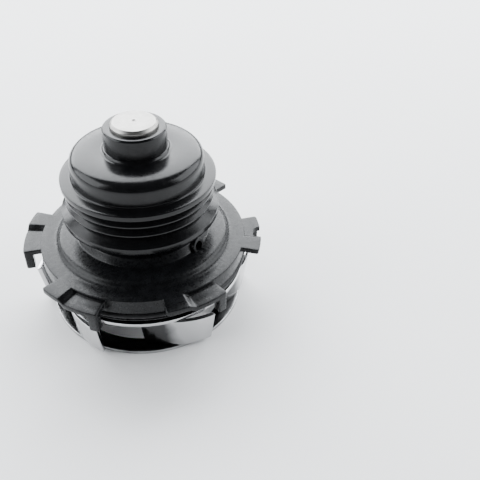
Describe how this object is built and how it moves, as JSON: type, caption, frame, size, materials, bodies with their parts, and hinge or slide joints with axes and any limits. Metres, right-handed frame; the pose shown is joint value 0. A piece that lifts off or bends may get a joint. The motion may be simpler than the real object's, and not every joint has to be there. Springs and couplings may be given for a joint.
{
  "type": "water pump",
  "caption": "Cartridge water pump: cast flange with bayonet lugs and pilot skirt, ribbed belt pulley on a sealed shaft bearing, open vane impeller below.",
  "frame": {"origin": "on the shaft axis, at the surface that the impeller ring rests on", "axes": "+Z along the shaft towards the pulley; the first bayonet lug starts 35 degrees from +X, counter-clockwise seen from +Z"},
  "size_m": [0.0874, 0.0868, 0.0732],
  "materials": {
    "ground_steel": "ground shaft steel, satin",
    "hub_black": "semi-gloss black paint on machined steel",
    "pulley_black": "semi-gloss black paint on pressed steel",
    "cast_black": "satin black paint over a fine cast skin",
    "oring_rubber": "smooth black rubber, slight sheen",
    "bearing_steel": "polished bearing steel",
    "seal_rubber": "matt black rubber",
    "cage_nylon": "natural nylon",
    "pressed_brass": "pressed brass sheet",
    "ceramic": null,
    "carbon": null,
    "spring_steel": "drawn stainless spring wire",
    "zinc_steel": "zinc-plated pressed steel",
    "impeller_steel": "bright rolled steel sheet"
  },
  "bodies": {
    "housing": {"pump_body": "cast_black", "housing_oring": "oring_rubber", "bearing_outer_ring": "bearing_steel", "bearing_seal_upper": "seal_rubber", "bearing_seal_lower": "seal_rubber", "seal_cup": "pressed_brass", "seal_spring": "spring_steel", "seal_bellows": "seal_rubber"},
    "rotor": {"pump_shaft": "ground_steel", "pulley_hub": "hub_black", "hub_weld": "hub_black", "pulley_shell": "pulley_black", "impeller_hub": "impeller_steel", "impeller_plate": "impeller_steel", "impeller_ring": "impeller_steel", "impeller_vane_1": "impeller_steel", "impeller_vane_2": "impeller_steel", "impeller_vane_3": "impeller_steel", "impeller_vane_4": "impeller_steel", "impeller_vane_5": "impeller_steel", "impeller_vane_6": "impeller_steel", "mating_ring": "ceramic", "mating_ring_boot": "seal_rubber", "slinger": "zinc_steel"},
    "ball_train": {"bearing_ball_1": "bearing_steel", "bearing_ball_2": "bearing_steel", "bearing_ball_3": "bearing_steel", "bearing_ball_4": "bearing_steel", "bearing_ball_5": "bearing_steel", "bearing_ball_6": "bearing_steel", "bearing_ball_7": "bearing_steel", "bearing_ball_8": "bearing_steel", "ball_cage": "cage_nylon"},
    "roller_train": {"bearing_roller_1": "bearing_steel", "bearing_roller_2": "bearing_steel", "bearing_roller_3": "bearing_steel", "bearing_roller_4": "bearing_steel", "bearing_roller_5": "bearing_steel", "bearing_roller_6": "bearing_steel", "bearing_roller_7": "bearing_steel", "bearing_roller_8": "bearing_steel", "bearing_roller_9": "bearing_steel", "bearing_roller_10": "bearing_steel", "bearing_roller_11": "bearing_steel", "bearing_roller_12": "bearing_steel", "roller_cage": "cage_nylon"},
    "seal_face": {"carbon_ring": "carbon", "seal_retainer": "pressed_brass"}
  },
  "joints": [
    {"name": "rotor_spin", "type": "hinge", "parent": "housing", "child": "rotor", "pos_m": [0, 0, 0.045], "axis": [0, 0, 1], "continuous": true},
    {"name": "ball_train_spin", "type": "hinge", "parent": "housing", "child": "ball_train", "pos_m": [0, 0, 0.0515], "axis": [0, 0, 1], "continuous": true},
    {"name": "roller_train_spin", "type": "hinge", "parent": "housing", "child": "roller_train", "pos_m": [0, 0, 0.0386], "axis": [0, 0, 1], "continuous": true},
    {"name": "seal_face_slide", "type": "slide", "parent": "housing", "child": "seal_face", "axis": [0, 0, 1], "range_m": [0, 0.0008], "stiffness_N_per_m": 3000, "springref_m": -0.004, "deforming": ["seal_spring", "seal_bellows"]}
  ],
  "couplings": [
    {"joint": "ball_train_spin", "follows": "rotor_spin", "ratio": 0.3719},
    {"joint": "roller_train_spin", "follows": "rotor_spin", "ratio": 0.3966}
  ]
}
